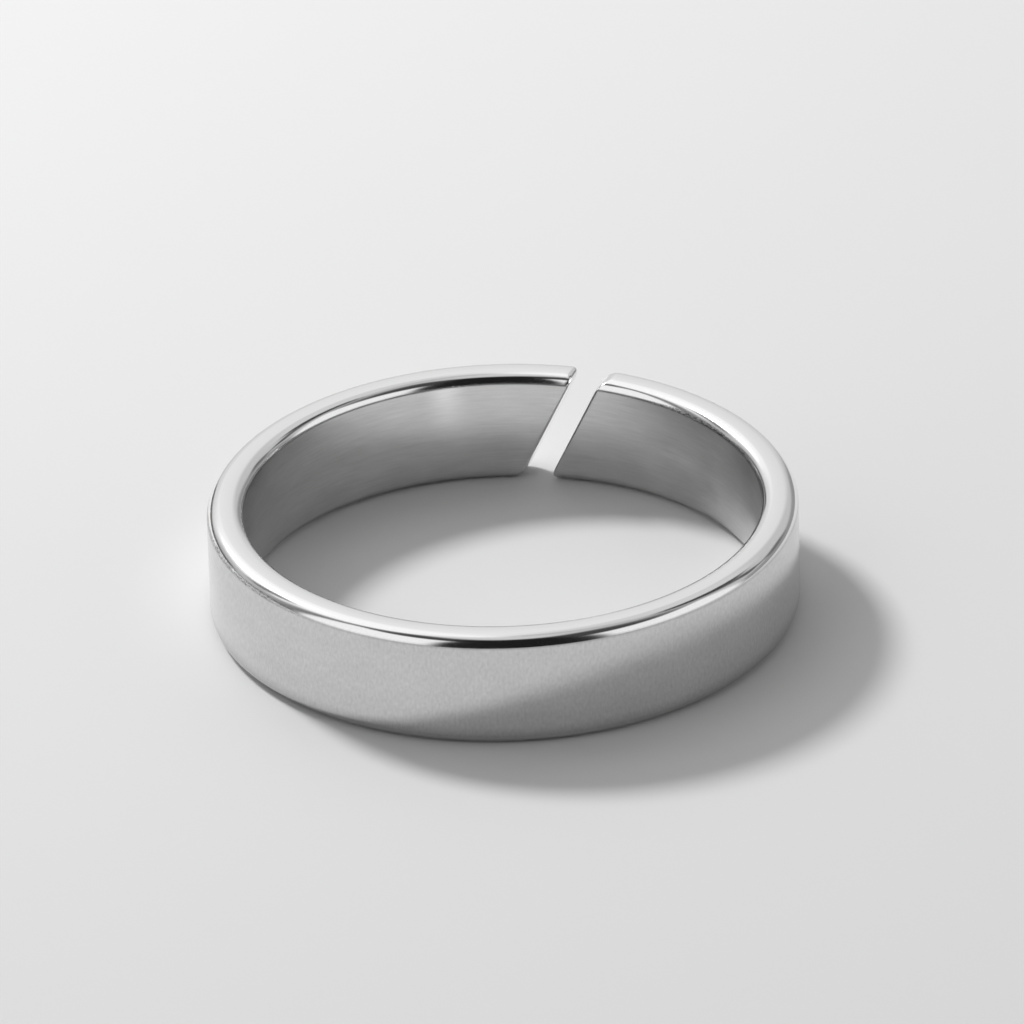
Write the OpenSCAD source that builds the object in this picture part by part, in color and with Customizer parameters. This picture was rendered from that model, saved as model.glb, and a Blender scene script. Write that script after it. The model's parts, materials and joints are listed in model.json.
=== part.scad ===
/* [Band] */
// Inside diameter of the ring, across the finger hole
inner_d = 17.3; // [14:0.1:23]
// Thickness of the band's wall
wall_t = 1.24; // [0.9:0.02:2]
// Width of the band, along the finger
band_w = 4; // [2:0.1:8]
// Radius of the two long edges on the outside
outer_edge_r = 0.4; // [0.1:0.02:0.44]
// Radius of the two long edges on the inside, against the finger
inner_edge_r = 0.34; // [0.1:0.02:0.44]

/* [Slit] */
// Gap between the two cut ends, measured square to their faces
slit_gap = 0.86; // [0.3:0.02:2]
// Lean of the slit from the finger's direction, in degrees
slit_lean = 25.4; // [0:0.2:45]
// Turn of the slit from the straight way outwards, in degrees
slit_turn = -6; // [-15:0.5:15]
// Radius where each cut end meets the band's upper and lower faces
end_edge_r = 0.36; // [0.1:0.02:0.6]

/* [Hidden] */
// Fineness of round shapes
$fn = 96;
// Distance that the cut runs on past the metal
over = 1;
// Number of short flats that round each edge of a cut end
edge_flats = 5;

// Radius of the inside wall
inner_r = inner_d / 2;
// Radius of the outside wall
outer_r = inner_r + wall_t;
// Radius halfway through the wall
mid_r = (inner_r + outer_r) / 2;

// Half of the slit's gap, measured along the band
half_gap = slit_gap / 2 / cos(slit_lean);

// Where the slit's left face lies, measured along the band from its middle, at a height from mid-width
function left_face(height) = height * tan(slit_lean) - half_gap;

// Centre of the round edge of the left end, at its upper (side = 1) or lower (side = -1) corner
function edge_centre(side) =
    let (height = side * (band_w / 2 - end_edge_r))
    [left_face(height) - end_edge_r / cos(slit_lean), height];

// Point of that round edge, from share = 0 on the band's flat face to share = 1 on the slit's face
function edge_point(side, share) =
    let (angle = side * 90 - share * (side * 90 + slit_lean))
    edge_centre(side) + end_edge_r * [cos(angle), sin(angle)];

// The round edge in short flats, in order from the slit's face to the flat face and out of the band
function round_edge(side) = [
    for (i = [edge_flats : -1 : 0]) edge_point(side, i / edge_flats),
    edge_point(side, 0) + [0, side * over]
];

// Section of the band: a rectangle with four round corners, at its distance from the axis
module band_section() {
    polygon([
        [inner_r + inner_edge_r, 0],
        [outer_r - outer_edge_r, 0],
        [outer_r, outer_edge_r],
        [outer_r, band_w - outer_edge_r],
        [outer_r - outer_edge_r, band_w],
        [inner_r + inner_edge_r, band_w],
        [inner_r, band_w - inner_edge_r],
        [inner_r, inner_edge_r]
    ]);
    for (side = [-1, 1]) {
        translate([inner_r + inner_edge_r, band_w / 2 + side * (band_w / 2 - inner_edge_r)])
            circle(r = inner_edge_r);
        translate([outer_r - outer_edge_r, band_w / 2 + side * (band_w / 2 - outer_edge_r)])
            circle(r = outer_edge_r);
    }
}

// Outline of the slit as the finger would see it, its middle at the origin: a leaning strip whose
// mouths open out round the edges of both ends
module slit_outline() {
    upper = round_edge(1);
    lower = round_edge(-1);
    left_side = concat([for (i = [len(lower) - 1 : -1 : 0]) lower[i]], upper);
    polygon(concat(left_side, -left_side));
}

// The slit's outline carried from the ring's axis outwards through the wall
module slit() {
    translate([0, mid_r, band_w / 2])
        rotate([0, 0, slit_turn])
            translate([0, outer_r - mid_r + over, 0])
                rotate([90, 0, 0])
                    linear_extrude(height = outer_r + over)
                        slit_outline();
}

// The whole ring, one piece of metal
module band() {
    color([0.8, 0.8, 0.8])
        difference() {
            rotate_extrude()
                band_section();
            slit();
        }
}

band();
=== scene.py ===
import json
import math

import bpy
from mathutils import Matrix, Vector


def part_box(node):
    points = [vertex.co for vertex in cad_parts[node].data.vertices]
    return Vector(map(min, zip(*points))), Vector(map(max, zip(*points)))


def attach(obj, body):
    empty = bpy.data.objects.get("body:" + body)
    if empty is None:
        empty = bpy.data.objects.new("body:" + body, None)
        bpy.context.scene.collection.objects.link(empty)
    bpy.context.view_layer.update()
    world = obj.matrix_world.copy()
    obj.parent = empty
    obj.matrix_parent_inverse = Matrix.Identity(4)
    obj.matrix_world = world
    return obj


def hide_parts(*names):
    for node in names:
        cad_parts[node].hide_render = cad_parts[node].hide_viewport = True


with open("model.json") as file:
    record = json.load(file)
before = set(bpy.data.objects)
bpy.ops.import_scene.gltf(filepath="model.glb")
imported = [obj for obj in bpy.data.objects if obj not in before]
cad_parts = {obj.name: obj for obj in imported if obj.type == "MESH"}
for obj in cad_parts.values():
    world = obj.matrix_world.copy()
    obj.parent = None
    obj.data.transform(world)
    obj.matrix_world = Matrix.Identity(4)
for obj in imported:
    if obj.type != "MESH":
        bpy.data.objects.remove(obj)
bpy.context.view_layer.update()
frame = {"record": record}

# An open cuff ring of polished silver, lying on its side on a pale floor. Lengths are in metres and angles
# in radians. The floor is at height 0, the finger's axis is upright, and the slit is on the +Y side.

MM = 0.001
MICRON = 0.000001
DEGREE = math.pi / 180

# Sizes of the ring that the frame gives
BAND_LOW, BAND_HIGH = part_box("band")
BAND_WIDTH = BAND_HIGH.z - BAND_LOW.z
OUTER_RADIUS = (BAND_HIGH.x - BAND_LOW.x) / 2
FINGER_BORE = next(mount for mount in frame["record"]["mounts"] if mount["name"] == "finger_bore")
INNER_RADIUS = FINGER_BORE["dims"]["r_mm"] * MM

# Sizes of its four long edges and its slit
OUTER_EDGE_RADIUS = 0.44 * MM
INNER_EDGE_RADIUS = 0.38 * MM
SLIT_GAP = 0.86 * MM
SLIT_LEAN = 25.4 * DEGREE
SLIT_TURN = -6 * DEGREE

# Radii of the two cut ends, on their upper, lower, outer and inner sides
END_UPPER_RADIUS = 0.34 * MM
END_LOWER_RADIUS = 0.36 * MM
END_OUTER_RADIUS = 0.38 * MM
END_INNER_RADIUS = 0.1 * MM
# The left end comes to a sharper tip, whose upper radius is this share of the right end's
TIP_SHARE = 0.75
# How far the curve of the upper and lower faces would leave their flat level by the walls
CROWN = 0.03 * MM

# The camera, placed round the finger's axis: azimuth 0 looks along +Y
CAMERA_AZIMUTH = 14.04 * DEGREE
CAMERA_RUN = 529.32 * MM
CAMERA_HEIGHT = 289.08 * MM
CAMERA_AIM = (-1.24 * MM, 6.25 * MM, 0)
CAMERA_ROLL = -1.754 * DEGREE
# Blender takes these two in millimetres
CAMERA_LENS = 632.8
CAMERA_SENSOR = 36


class Value:
    """One output of a node, with Python's arithmetic on it: each operator adds its Math node."""

    def __init__(self, nodes, socket):
        self.nodes = nodes
        self.socket = socket

    def math(self, operation, *others):
        return self.nodes.add("ShaderNodeMath", {"operation": operation}, [self, *others])

    def __add__(self, other):
        return self.math("ADD", other)

    def __radd__(self, other):
        return self.math("ADD", other)

    def __sub__(self, other):
        return self.math("SUBTRACT", other)

    def __rsub__(self, other):
        return self.nodes.add("ShaderNodeMath", {"operation": "SUBTRACT"}, [other, self])

    def __mul__(self, other):
        return self.math("MULTIPLY", other)

    def __rmul__(self, other):
        return self.math("MULTIPLY", other)

    def __truediv__(self, other):
        return self.math("DIVIDE", other)

    def __rtruediv__(self, other):
        return self.nodes.add("ShaderNodeMath", {"operation": "DIVIDE"}, [other, self])

    def __neg__(self):
        return self.math("MULTIPLY", -1)

    def unsigned(self):
        """This without its sign."""
        return self.math("ABSOLUTE")

    def above(self, limit):
        """1 where this is greater than the limit, else 0."""
        return self.math("GREATER_THAN", limit)

    def least(self, other):
        """The smaller of the two."""
        return self.math("MINIMUM", other)

    def most(self, other):
        """The greater of the two."""
        return self.math("MAXIMUM", other)

    def between(self, low, high):
        return self.most(low).least(high)


class Nodes:
    """The nodes of one tree. add() makes a node: settings first, then the values or links of its sockets."""

    def __init__(self, tree):
        self.tree = tree

    def add(self, kind, settings=None, inputs=(), output=0):
        node = self.tree.nodes.new(kind)
        for name, setting in (settings or {}).items():
            setattr(node, name, setting)
        pairs = inputs.items() if isinstance(inputs, dict) else enumerate(inputs)
        for name, value in pairs:
            self.fill(node.inputs[name], value)
        return Value(self, node.outputs[output])

    def fill(self, socket, value):
        if isinstance(value, Value):
            self.tree.links.new(value.socket, socket)
        else:
            socket.default_value = value

    def split(self, vector):
        """The X, Y and Z of a vector."""
        parts = self.add("ShaderNodeSeparateXYZ", inputs=[vector])
        return [Value(self, socket) for socket in parts.socket.node.outputs]

    def join(self, x, y, z):
        return self.add("ShaderNodeCombineXYZ", inputs=[x, y, z])

    def smooth(self, value, start, end):
        """0 before start and 1 past end, with a soft rise between them."""
        settings = {"interpolation_type": "SMOOTHSTEP", "clamp": True}
        return self.add("ShaderNodeMapRange", settings, {"Value": value, "From Min": start, "From Max": end})

    def mix(self, share, first, second):
        """The first where the share is 0, the second where it is 1, and a blend between."""
        return first + (second - first) * share

    def noise(self, vector, scale, detail=2, roughness=0.5):
        """Noise that swings round 0 by up to a half each way. Its scale is its waves in a metre."""
        inputs = {"Vector": vector, "Scale": scale, "Detail": detail, "Roughness": roughness}
        return self.add("ShaderNodeTexNoise", {}, inputs) - 0.5


# The band's shape. A section of the band, lying in its own X and Y, is carried along a straight path, and
# each point then goes to its place round the finger. The rings near both ends shrink along a quarter turn,
# which rounds the ends, and every ring is sheared so that the ends lie in the leaning faces of the slit.

BAND_SIZES = [
    ("Inner Radius", INNER_RADIUS),
    ("Outer Radius", OUTER_RADIUS),
    ("Band Width", BAND_WIDTH),
    ("Outer Edge Radius", OUTER_EDGE_RADIUS),
    ("Inner Edge Radius", INNER_EDGE_RADIUS),
    ("Slit Gap", SLIT_GAP),
    ("Slit Lean", SLIT_LEAN),
    ("Slit Turn", SLIT_TURN),
    ("End Upper Radius", END_UPPER_RADIUS),
    ("End Lower Radius", END_LOWER_RADIUS),
    ("End Outer Radius", END_OUTER_RADIUS),
    ("End Inner Radius", END_INNER_RADIUS),
    ("Tip Share", TIP_SHARE),
    ("Crown", CROWN),
]
BAND_COUNTS = [
    ("Rings", 560),
    ("End Rings", 14),
    ("Edge Points", 12),
    ("Flat Cuts", 15),
]
# How far the last ring of an end shrinks on past its rounding, as a share of the rounding
END_LIP = 0.15


def new_tree(name, sizes, counts):
    """A node group with a geometry socket at each end, and named inputs for its sizes and counts."""
    tree = bpy.data.node_groups.new(name, "GeometryNodeTree")
    tree.interface.new_socket("Geometry", in_out="OUTPUT", socket_type="NodeSocketGeometry")
    tree.interface.new_socket("Geometry", in_out="INPUT", socket_type="NodeSocketGeometry")
    for size, _ in sizes:
        tree.interface.new_socket(size, in_out="INPUT", socket_type="NodeSocketFloat")
    for count, _ in counts:
        tree.interface.new_socket(count, in_out="INPUT", socket_type="NodeSocketInt")
    tree.interface.new_socket("Material", in_out="INPUT", socket_type="NodeSocketMaterial")
    return tree


def stored(nodes, geometry, name, kind, value):
    """The geometry with a value kept on its points."""
    settings = {"data_type": kind, "domain": "POINT"}
    inputs = {"Geometry": geometry, "Name": name, "Value": value}
    return nodes.add("GeometryNodeStoreNamedAttribute", settings, inputs)


def recalled(nodes, name, kind):
    """A value that was kept on the points."""
    return nodes.add("GeometryNodeInputNamedAttribute", {"data_type": kind}, {"Name": name})


def band_section(nodes, size):
    """The band's section: a rectangle with four round corners, its X the distance from the finger's axis."""
    wall = size["Outer Radius"] - size["Inner Radius"]
    middle = (size["Outer Radius"] + size["Inner Radius"]) / 2
    sides = {"Width": wall, "Height": size["Band Width"]}
    rectangle = nodes.add("GeometryNodeCurvePrimitiveQuadrilateral", {}, sides)
    place = nodes.join(middle, size["Band Width"] / 2, 0)
    placed = nodes.add("GeometryNodeTransform", {}, {"Geometry": rectangle, "Translation": place})
    across = nodes.split(nodes.add("GeometryNodeInputPosition"))[0]
    radius = nodes.mix(across.above(middle), size["Inner Edge Radius"], size["Outer Edge Radius"])
    corners = {"Curve": placed, "Radius": radius, "Count": size["Edge Points"]}
    rounded = nodes.add("GeometryNodeFilletCurve", {"mode": "POLY"}, corners)
    # the four long straight pieces, which follow the last point of each corner, are cut up too
    points_a_corner = size["Edge Points"] + 1
    order = nodes.add("GeometryNodeInputIndex").math("MODULO", points_a_corner)
    ends_corner = order.above(size["Edge Points"] - 0.5)
    cuts = {"Curve": rounded, "Cuts": ends_corner * size["Flat Cuts"]}
    section = nodes.add("GeometryNodeSubdivideCurve", {}, cuts)
    return stored(nodes, section, "section", "FLOAT_VECTOR", nodes.add("GeometryNodeInputPosition"))


def straight_path(nodes, size):
    """A line with one point for each ring, which keeps its number."""
    line = nodes.add("GeometryNodeCurvePrimitiveLine")
    points = nodes.add("GeometryNodeResampleCurve", {}, {"Curve": line, "Count": size["Rings"]})
    return stored(nodes, points, "ring", "FLOAT", nodes.add("GeometryNodeInputIndex"))


def end_angle(nodes, size, side, depth, distance, height):
    """The angle from +Y of a point that lies at a depth inside the slit's face on this side of the gap."""
    lean, turn = size["Slit Lean"], size["Slit Turn"]
    middle = (size["Outer Radius"] + size["Inner Radius"]) / 2
    across = side * (size["Slit Gap"] / 2 + depth) + lean.math("SINE") * (height - size["Band Width"] / 2)
    sine = (across / lean.math("COSINE") + middle * turn.math("SINE")) / distance
    return sine.math("ARCSINE") - turn


def band_places(nodes, size):
    """The place of each point of the swept section, and how far it faces outwards, upwards and endwards."""
    distance, height, _ = nodes.split(recalled(nodes, "section", "FLOAT_VECTOR"))
    ring = recalled(nodes, "ring", "FLOAT")
    middle = (size["Outer Radius"] + size["Inner Radius"]) / 2
    edge = nodes.mix(distance.above(middle), size["Inner Edge Radius"], size["Outer Edge Radius"])
    inner_core = size["Inner Radius"] + size["Inner Edge Radius"]
    outer_core = size["Outer Radius"] - size["Outer Edge Radius"]
    out = distance - distance.between(inner_core, outer_core)
    up = height - height.between(edge, size["Band Width"] - edge)
    length = (out * out + up * up).math("SQRT")
    out, up = out / length, up / length

    # the quarter turn that rounds an end is 0 on the slit's face, and full where the plain band starts
    last = size["Rings"] - 1
    from_end = ring.least(last - ring)
    quarter = ((from_end - 1) / size["End Rings"]).between(0, 1) * (math.pi / 2)
    upper_radius = size["End Upper Radius"] * nodes.mix(ring.above(last / 2), 1, size["Tip Share"])
    level_radius = nodes.mix(up.above(0), size["End Lower Radius"], upper_radius)
    side_radius = nodes.mix(distance.above(middle), size["End Inner Radius"], size["End Outer Radius"])
    steep = up * up
    depth = nodes.mix(steep * steep, side_radius, level_radius) * (1 - quarter.math("COSINE"))
    inset = (1 - quarter.math("SINE")) * (1 + END_LIP * (1 - from_end.least(1)))
    outward = (distance - size["Inner Radius"]) / (size["Outer Radius"] - size["Inner Radius"])
    upward = height / size["Band Width"]
    distance = distance + inset * nodes.mix(outward, size["End Inner Radius"], -size["End Outer Radius"])
    height = height + inset * nodes.mix(upward, size["End Lower Radius"], -upper_radius)

    # the upper and lower faces are crowned a little, as a polished edge is
    half_wall = (size["Outer Radius"] - size["Inner Radius"]) / 2
    off_middle = (distance - middle) / half_wall
    height = height - size["Crown"] * up * up * up * off_middle * off_middle

    right = end_angle(nodes, size, 1, depth, distance, height)
    left = end_angle(nodes, size, -1, depth, distance, height) + 2 * math.pi
    share = ((ring - size["End Rings"] - 1) / (last - 2 * size["End Rings"] - 2)).between(0, 1)
    angle = nodes.mix(share, right, left)
    place = nodes.join(distance * angle.math("SINE"), distance * angle.math("COSINE"), height)
    return place, nodes.join(out, up, 1 - quarter.math("SINE"))


def make_band_tree():
    """The Geometry Nodes that shape the band from its named sizes."""
    tree = new_tree("open_band", BAND_SIZES, BAND_COUNTS)
    nodes = Nodes(tree)
    group_in = tree.nodes.new("NodeGroupInput")
    size = {socket.name: Value(nodes, socket) for socket in group_in.outputs if socket.name}
    path = straight_path(nodes, size)
    section = band_section(nodes, size)
    sweep = {"Curve": path, "Profile Curve": section, "Fill Caps": True}
    swept = nodes.add("GeometryNodeCurveToMesh", {}, sweep)
    place, facing = band_places(nodes, size)
    noted = stored(nodes, swept, "facing", "FLOAT_VECTOR", facing)
    placed = nodes.add("GeometryNodeSetPosition", {}, {"Geometry": noted, "Position": place})
    smooth = nodes.add("GeometryNodeSetShadeSmooth", {}, {"Geometry": placed})
    real = nodes.add("GeometryNodeRealizeInstances", {}, {"Geometry": smooth})
    silvered = nodes.add("GeometryNodeSetMaterial", {}, {"Geometry": real, "Material": size["Material"]})
    group_out = tree.nodes.new("NodeGroupOutput")
    tree.links.new(silvered.socket, group_out.inputs["Geometry"])
    return tree


def make_band(material):
    """The band as a plain mesh, made by its node tree."""
    maker = bpy.data.objects.new("band_maker", bpy.data.meshes.new("band_maker"))
    bpy.context.scene.collection.objects.link(maker)
    modifier = maker.modifiers.new("shape", "NODES")
    modifier.node_group = make_band_tree()
    values = {**dict(BAND_SIZES), **dict(BAND_COUNTS), "Material": material}
    for socket in modifier.node_group.interface.items_tree:
        if socket.in_out == "INPUT" and socket.name in values:
            modifier[socket.identifier] = values[socket.name]
    made = maker.evaluated_get(bpy.context.evaluated_depsgraph_get())
    mesh = bpy.data.meshes.new_from_object(made)
    mesh.name = "silver_band"
    maker.modifiers.remove(modifier)
    bpy.data.objects.remove(maker)
    band = bpy.data.objects.new("silver_band", mesh)
    bpy.context.scene.collection.objects.link(band)
    return band


# The silver's finish. A tone is the share of the light that the metal throws back.
POLISHED_TONE = 0.9
WALL_TONE = 0.67
POLISHED_ROUGHNESS = 0.12
INNER_WALL_ROUGHNESS = 0.22
OUTER_WALL_ROUGHNESS = 0.15
ROUNDED_END_ADDED_ROUGHNESS = 0.14
# How much the clouds in the satin vary its tone, as a share of it
INNER_WALL_CLOUDS = 0.26
OUTER_WALL_CLOUDS = 0.12
# A painted dark line, which stands in for shade reflected in the metal, runs where an upper edge meets its
# wall. It starts where the metal faces this far sideways, from 0 on the upper face to 1 on the wall, and
# fades out between the last two.
DARK_LINE_START = 0.95
FLECKED_LINE_START = 0.86
DARK_LINE_RISE = 0.025
DARK_LINE_END = (0.985, 0.998)
# How dark the painted dark lines are, and where they are broken into painted dark flecks. An angle round the
# ring is measured from the slit, and is positive on the side of +X.
INNER_DARK_LINE_DEPTH = 0.45
OUTER_DARK_LINE_DEPTH = 0.16
FLECKED_LINE_DEPTH = 0.85
INNER_FLECKED_ANGLE = 50 * DEGREE
OUTER_FLECKED_ANGLE = -122 * DEGREE
FLECKED_HALF_LENGTH = 16 * DEGREE
FLECKED_HALF_LENGTH_WITH_FADE = 34 * DEGREE
# The edge that the ring rests on and the foot of its outer wall are darkened by these shares, as painted
# contact shade
RESTING_EDGE_PAINTED_SHADE = 0.4
LOW_WALL_PAINTED_SHADE = 0.25
LOW_WALL_HEIGHT = 0.25 * MM
LOW_WALL_HEIGHT_WITH_FADE = 0.8 * MM
# The patch beside the slit, high on the inner wall, that is painted brighter as a glow of reflected light,
# and made a little less rough
PATCH_ANGLE = -26 * DEGREE
PATCH_HALF_WIDTH = 0.9 * MM
PATCH_START_HEIGHT = 1.4 * MM
PATCH_FULL_HEIGHT = 3.6 * MM
PATCH_PAINTED_GLOW_TONE = 0.18
PATCH_LESS_ROUGHNESS = 0.05


def flecked_stretch_of_line(nodes, angle, outer):
    """1 on the flecked stretch of each wall's painted dark line, fading to 0 along the band."""
    off_worn = (angle - nodes.mix(outer, INNER_FLECKED_ANGLE, OUTER_FLECKED_ANGLE)).unsigned()
    return 1 - nodes.smooth(off_worn, FLECKED_HALF_LENGTH, FLECKED_HALF_LENGTH_WITH_FADE)


def painted_dark_line(nodes, sideways, up, flecked_stretch):
    """1 on the painted dark line, a painted dark reflection where an upper edge meets its wall. The line is
    wider on its flecked stretch.
    """
    start = nodes.mix(flecked_stretch, DARK_LINE_START, FLECKED_LINE_START)
    line = nodes.smooth(sideways, start, start + DARK_LINE_RISE) * (1 - nodes.smooth(sideways, *DARK_LINE_END))
    return line * up.above(0)


def painted_glow_patch(nodes, angle, z):
    """1 at the top of the painted glow's middle, fading to 0 sideways and down."""
    off_patch = (angle - PATCH_ANGLE) * INNER_RADIUS
    across = 1 - nodes.smooth(off_patch.unsigned(), 0, PATCH_HALF_WIDTH)
    return across * nodes.smooth(z, PATCH_START_HEIGHT, PATCH_FULL_HEIGHT)


def make_silver():
    """Polished silver on the edges and faces, with a satin finish drawn round the two walls."""
    material = bpy.data.materials.new("silver")
    material.use_nodes = True
    nodes = Nodes(material.node_tree)
    here = nodes.add("ShaderNodeTexCoord", output="Object")
    x, y, z = nodes.split(here)
    facing = nodes.add("ShaderNodeAttribute", {"attribute_name": "facing"}, output="Vector")
    out, up, end = nodes.split(facing)
    # the angle round the ring from the slit, and the way round its outside with the break at the slit
    angle = x.math("ARCTAN2", y)
    round_way = (-x).math("ARCTAN2", -y) * OUTER_RADIUS

    # the parts of the band, told by how far the metal faces outwards, upwards and endwards: each of these is
    # 1 on its own part and 0 elsewhere
    sideways = out.unsigned()
    outer = out.above(0)
    on_side = nodes.smooth(sideways, 0.9, 0.99)
    on_face = nodes.smooth(up.unsigned(), 0.9, 0.99)
    wall = on_side * (1 - nodes.smooth(end, 0.02, 0.2))
    edge = 1 - on_side - on_face
    resting_edge = 1 - nodes.smooth(up, -0.5, -0.1)
    rounded_end = nodes.smooth(end, 0.02, 0.3) * nodes.smooth(up, 0.3, 0.9)
    low_wall = wall * outer * (1 - nodes.smooth(z, LOW_WALL_HEIGHT, LOW_WALL_HEIGHT_WITH_FADE))
    glow_patch = painted_glow_patch(nodes, angle, z) * wall * (1 - outer)

    # the patterns of the finish: strokes run round the inner wall, short upright marks cover the outer one,
    # and the two walls have clouds of their own
    strokes = nodes.noise(nodes.join(round_way * 0.07, z, 0), 16000)
    long_strokes = nodes.noise(nodes.join(round_way * 0.02, z, 0), 7000)
    marks = nodes.noise(nodes.join(round_way, z * 0.4, 0), 12000)
    clouds = nodes.noise(nodes.join(round_way * 0.6, z * 1.4, outer * 0.01), 900)
    swells = nodes.noise(here, 260, detail=1)
    specks = nodes.noise(here, 9000, roughness=0.7)
    grain = nodes.noise(here, 26000, roughness=0.7)

    # the painted dark lines along the upper edges, which stand in for dark reflections and are broken into
    # painted flecks on two stretches
    flecked_stretch = flecked_stretch_of_line(nodes, angle, outer)
    dark_line = painted_dark_line(nodes, sideways, up, flecked_stretch)
    flecks = nodes.smooth(grain, -0.04, 0.06)
    whole_depth = nodes.mix(outer, INNER_DARK_LINE_DEPTH, OUTER_DARK_LINE_DEPTH)
    dark_line_depth = nodes.mix(flecked_stretch, whole_depth, flecks * FLECKED_LINE_DEPTH)

    # how much the patterns vary the tone, as a share of it
    cloudy = clouds * wall * nodes.mix(outer, INNER_WALL_CLOUDS, OUTER_WALL_CLOUDS)
    brushing = strokes * 0.28 + long_strokes * 0.14
    mottling = marks * 0.34 + specks * 0.2
    # a painted glow brightens the patch high on the inner wall
    tone = nodes.mix(wall, POLISHED_TONE, WALL_TONE) + glow_patch * PATCH_PAINTED_GLOW_TONE
    tone = tone * (1 + cloudy + wall * nodes.mix(outer, brushing, mottling))
    # painted dark reflection lines along the upper edges darken the tone here
    tone = tone * (1 + edge * specks * 0.1) * (1 - dark_line * dark_line_depth)
    # painted contact shade on the edge that the ring rests on and at the foot of the outer wall
    tone = tone * (1 - resting_edge * RESTING_EDGE_PAINTED_SHADE) * (1 - low_wall * LOW_WALL_PAINTED_SHADE)
    black_to_white = {0: tone, 6: (0, 0, 0, 1), 7: (1, 1, 1, 1)}
    colour = nodes.add("ShaderNodeMix", {"data_type": "RGBA"}, black_to_white, output=2)

    # the same patterns vary the roughness a little
    wall_roughness = nodes.mix(outer, INNER_WALL_ROUGHNESS, OUTER_WALL_ROUGHNESS)
    roughness = nodes.mix(wall, POLISHED_ROUGHNESS, wall_roughness)
    roughness = roughness + rounded_end * ROUNDED_END_ADDED_ROUGHNESS - glow_patch * PATCH_LESS_ROUGHNESS
    roughness = roughness + cloudy * 0.5 + wall * strokes * 0.08 + (1 - wall) * specks * 0.06

    # the relief: shallow strokes and specks, deeper grain on the flecked stretches of the edges and painted
    # dark lines, and long low swells
    relief = wall * (strokes * (0.16 * MICRON) + long_strokes * (0.24 * MICRON))
    relief = relief + (edge * (1.4 * MICRON) + dark_line * (2.4 * MICRON)) * flecked_stretch * grain
    relief = relief + specks * (0.08 * MICRON) + swells * (8 * MICRON)
    bump = nodes.add("ShaderNodeBump", {}, {"Height": relief, "Distance": 1.0, "Strength": 1.0})

    shader = material.node_tree.nodes["Principled BSDF"]
    shader.inputs["Metallic"].default_value = 1
    nodes.fill(shader.inputs["Base Color"], colour)
    nodes.fill(shader.inputs["Roughness"], roughness)
    nodes.fill(shader.inputs["Normal"], bump)
    return material


FLOOR_HALF = 2.0
FLOOR_COLOUR = (0.71, 0.71, 0.71, 1)
FLOOR_ROUGHNESS = 0.9


def make_floor():
    """The plain pale floor that the ring lies on."""
    mesh = bpy.data.meshes.new("floor")
    low, high = -FLOOR_HALF, FLOOR_HALF
    mesh.from_pydata([(low, low, 0), (high, low, 0), (high, high, 0), (low, high, 0)], [], [(0, 1, 2, 3)])
    floor = bpy.data.objects.new("floor", mesh)
    bpy.context.scene.collection.objects.link(floor)
    material = bpy.data.materials.new("pale_floor")
    material.use_nodes = True
    shader = material.node_tree.nodes["Principled BSDF"]
    shader.inputs["Base Color"].default_value = FLOOR_COLOUR
    shader.inputs["Roughness"].default_value = FLOOR_ROUGHNESS
    mesh.materials.append(material)


def make_camera():
    """The camera, at the photograph's angle above the floor."""
    data = bpy.data.cameras.new("camera")
    camera = bpy.data.objects.new("camera", data)
    bpy.context.scene.collection.objects.link(camera)
    along = Vector((math.sin(CAMERA_AZIMUTH), -math.cos(CAMERA_AZIMUTH), 0))
    place = along * CAMERA_RUN + Vector((0, 0, CAMERA_HEIGHT))
    look = (Vector(CAMERA_AIM) - place).to_track_quat("-Z", "Y")
    turned = look.to_matrix() @ Matrix.Rotation(CAMERA_ROLL, 3, "Z")
    camera.matrix_world = Matrix.Translation(place) @ turned.to_4x4()
    data.lens = CAMERA_LENS
    data.sensor_width = CAMERA_SENSOR
    data.clip_start = 0.01
    data.clip_end = 10
    bpy.context.scene.camera = camera


# The studio. Each panel is a soft-edged patch of light or shade in the distance. Its place is its bearing
# from the way the camera looks, positive to the right, and its height above the horizon. All are in degrees,
# and a later panel lies over the ones before it.
PANELS = [
    # bearing, half width, height, half height, softness, brightness
    (2, 40, 30, 24, 12, 0.7),
    (24, 30, 50, 15, 8, 0.66),
    (-40, 40, 52, 26, 18, 1.02),
    (-40, 20, 3, 7, 4, 0.12),
    (-66, 6, 34, 11, 5, 0.15),
    (46, 34, 27, 14, 12, 0.56),
    (52, 34, 6, 11, 10, 0.3),
    (60, 11, 51, 11, 4, 0.05),
    (67, 6, 33, 11, 5, 0.1),
    (53, 8, 19, 6, 6, 0.15),
    (-125, 27, 24, 32, 7, 0.95),
    (112, 30, 20, 26, 8, 0.9),
]
# The brightness round the panels: ahead of the camera, behind it, straight behind it, and overhead. They
# pass into each other between two bearings, and into the sky between two heights, in degrees too.
AHEAD = 0.5
BEHIND = 0.06
STRAIGHT_BEHIND = 0.012
SKY = 0.64
BEHIND_BEARINGS = (60, 110)
STRAIGHT_BEHIND_BEARINGS = (140, 155)
SKY_HEIGHTS = (72, 83)

# The key light, a round lamp: its bearing and height as a panel's, and its distance from the ring
KEY_BEARING = -41 * DEGREE
KEY_HEIGHT = 40.6 * DEGREE
KEY_DISTANCE = 0.3
KEY_DIAMETER = 0.058
KEY_POWER = 0.725


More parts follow.
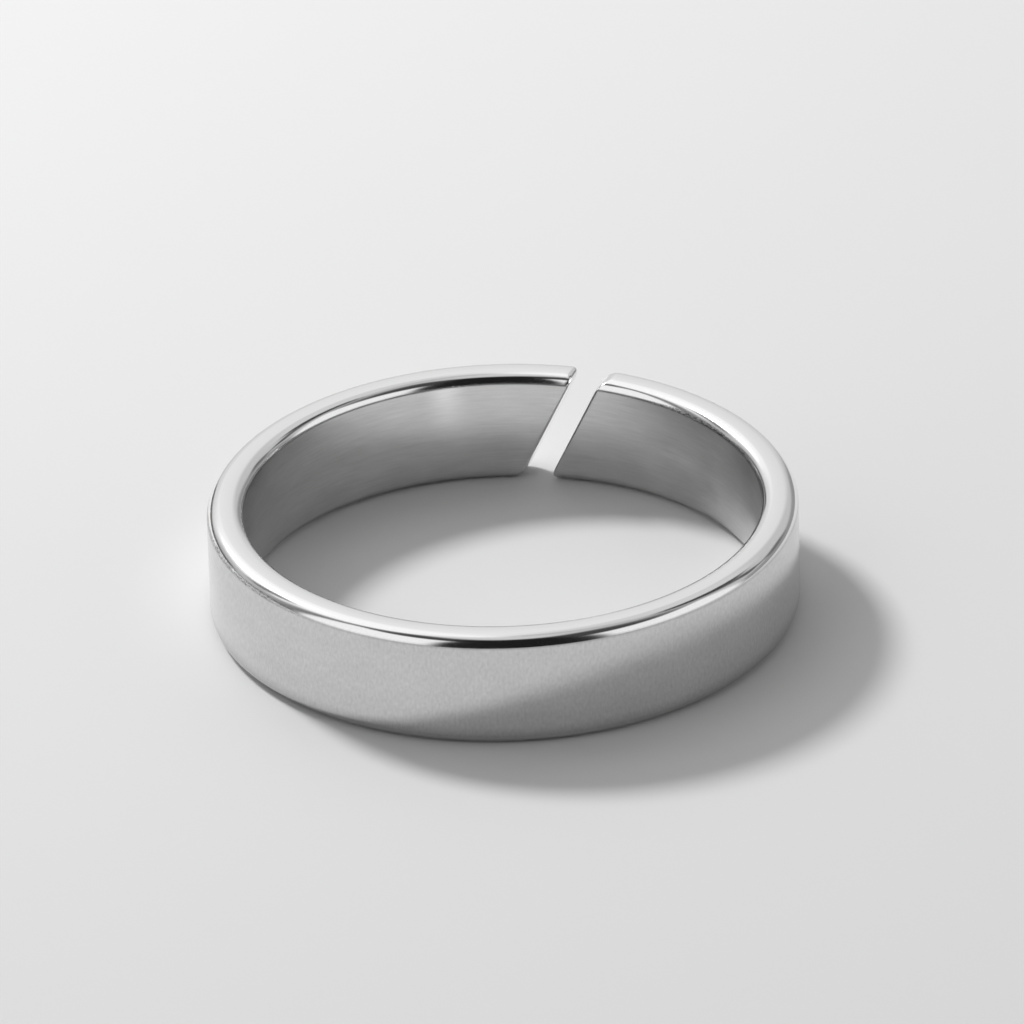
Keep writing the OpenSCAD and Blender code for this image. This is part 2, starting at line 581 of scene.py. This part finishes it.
def make_world():
    """The surround and the panels of light, which the metal mirrors."""
    world = bpy.data.worlds.new("studio")
    bpy.context.scene.world = world
    world.use_nodes = True
    nodes = Nodes(world.node_tree)
    x, y, z = nodes.split(nodes.add("ShaderNodeTexCoord", output="Generated"))
    height = z.math("ARCSINE") / DEGREE
    forward = y * math.cos(CAMERA_AZIMUTH) - x * math.sin(CAMERA_AZIMUTH)
    rightward = x * math.cos(CAMERA_AZIMUTH) + y * math.sin(CAMERA_AZIMUTH)
    bearing = rightward.math("ARCTAN2", forward) / DEGREE
    light = nodes.mix(nodes.smooth(bearing.unsigned(), *BEHIND_BEARINGS), AHEAD, BEHIND)
    light = nodes.mix(nodes.smooth(bearing.unsigned(), *STRAIGHT_BEHIND_BEARINGS), light, STRAIGHT_BEHIND)
    light = nodes.mix(nodes.smooth(height, *SKY_HEIGHTS), light, SKY)
    for centre, half_width, middle, half_height, softness, brightness in PANELS:
        off = (bearing - centre).unsigned()
        far = (height - middle).unsigned()
        inside_width = 1 - nodes.smooth(off, half_width - softness / 2, half_width + softness / 2)
        inside_height = 1 - nodes.smooth(far, half_height - softness / 2, half_height + softness / 2)
        light = nodes.mix(inside_width * inside_height, light, brightness)
    background = world.node_tree.nodes["Background"]
    nodes.fill(background.inputs["Color"], light)


def make_key():
    """The soft lamp that throws the ring's shadow."""
    data = bpy.data.lights.new("key", "AREA")
    data.shape = "DISK"
    data.size = KEY_DIAMETER
    data.energy = KEY_POWER
    key = bpy.data.objects.new("key", data)
    bpy.context.scene.collection.objects.link(key)
    bearing = KEY_BEARING - CAMERA_AZIMUTH
    level = math.cos(KEY_HEIGHT)
    towards = Vector((math.sin(bearing) * level, math.cos(bearing) * level, math.sin(KEY_HEIGHT)))
    key.location = towards * KEY_DISTANCE
    key.rotation_mode = "QUATERNION"
    key.rotation_quaternion = towards.to_track_quat("Z", "Y")


make_camera()
make_world()
make_key()
make_floor()
silver = make_silver()
band = make_band(silver)
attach(band, "root")
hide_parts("band")
bpy.context.scene.view_settings.view_transform = "Standard"
